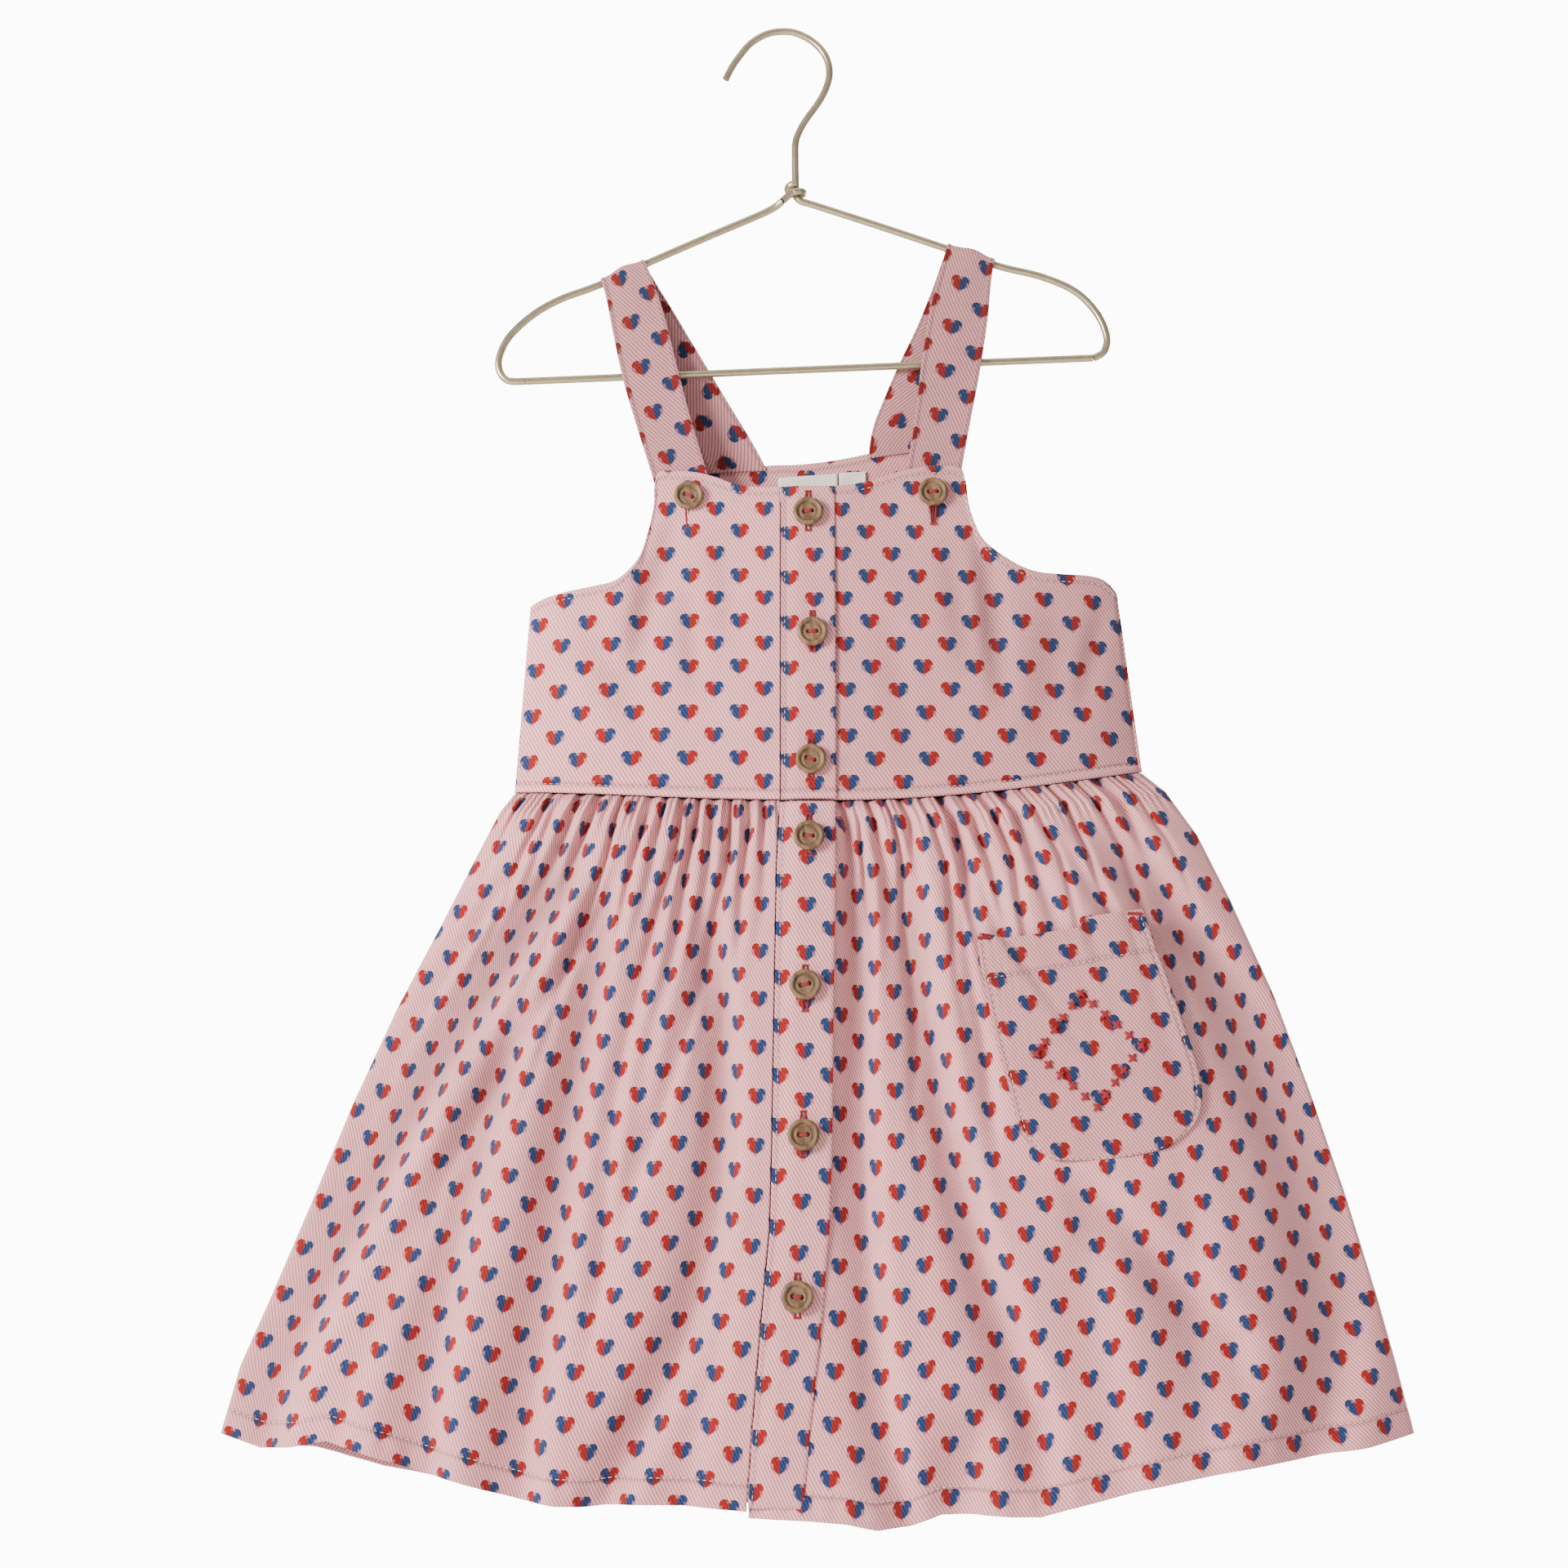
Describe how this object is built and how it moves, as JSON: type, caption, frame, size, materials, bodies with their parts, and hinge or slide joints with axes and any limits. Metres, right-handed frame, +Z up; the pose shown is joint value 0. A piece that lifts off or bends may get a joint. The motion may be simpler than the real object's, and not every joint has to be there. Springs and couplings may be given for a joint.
{
  "type": "pinafore dress on hanger",
  "caption": "Child's sleeveless cotton pinafore with buttoned straps, buttoned front band, gathered skirt and patch pocket, hung on a wire hanger.",
  "frame": {"origin": "where the hanger's hook rests on its rod or peg: the inner top of the hook, in the hanger's own plane", "axes": "+Z up, +X to the viewer's right, the dress's front faces -Y"},
  "size_m": [0.557, 0.0659, 0.7649],
  "materials": {
    "print_cloth": "fine pale pink diagonal twill with small two-tone red and blue hearts",
    "label_tape": "smooth cream woven tape, plain",
    "hanger_wire": "satin gold-coloured steel wire",
    "button_wood": "turned olive-brown wood, satin"
  },
  "bodies": {
    "root": {"bodice_front_left": "print_cloth", "bodice_front_right": "print_cloth", "bodice_back": "print_cloth", "placket_bodice": "print_cloth", "skirt_front_left": "print_cloth", "skirt_front_right": "print_cloth", "skirt_back": "print_cloth", "placket_skirt": "print_cloth", "pocket": "print_cloth", "strap_left": "print_cloth", "strap_right": "print_cloth", "label_main": "label_tape", "label_small": "label_tape", "hanger_hook": "hanger_wire", "hanger_wrap": "hanger_wire", "hanger_arm_left": "hanger_wire", "hanger_arm_right": "hanger_wire", "hanger_bar": "hanger_wire", "button_strap_left": "button_wood", "button_strap_right": "button_wood", "button_bodice_1": "button_wood", "button_bodice_2": "button_wood", "button_bodice_3": "button_wood", "button_skirt_1": "button_wood", "button_skirt_2": "button_wood", "button_skirt_3": "button_wood", "button_skirt_4": "button_wood"}
  },
  "joints": []
}
